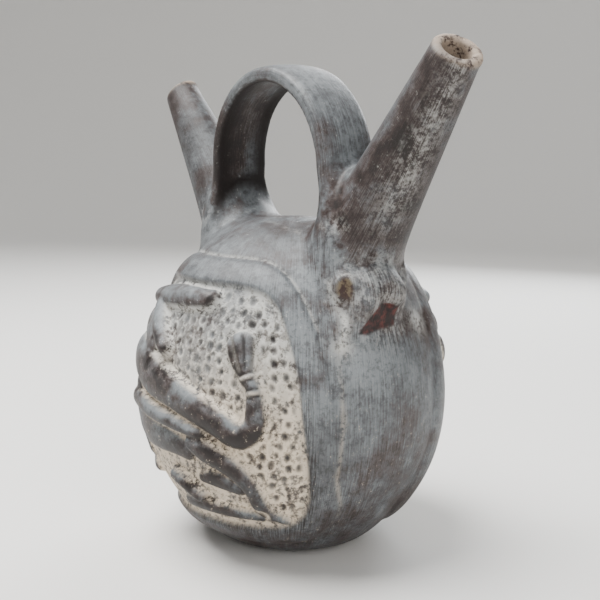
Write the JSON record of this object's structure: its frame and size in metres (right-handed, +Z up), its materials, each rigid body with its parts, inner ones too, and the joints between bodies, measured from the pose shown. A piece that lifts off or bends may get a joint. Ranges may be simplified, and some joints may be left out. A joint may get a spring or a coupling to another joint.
{
  "type": "double-spout bottle",
  "caption": "Hollow flat-based earthenware bottle with splayed spouts, a strap handle between them and moulded relief panels.",
  "frame": {"origin": "centre of the flat base, on the surface that the bottle stands on", "axes": "+Z is up; +X runs towards one spout and -X towards the other; -Y faces the front relief panel, and the back panel is the same half a turn round +Z"},
  "size_m": [0.1977, 0.1354, 0.2028],
  "materials": {
    "burnished_blackware": "burnished black earthenware, with pale soil in the hollows of its relief"
  },
  "bodies": {
    "root": {"bottle": "burnished_blackware"}
  },
  "joints": []
}
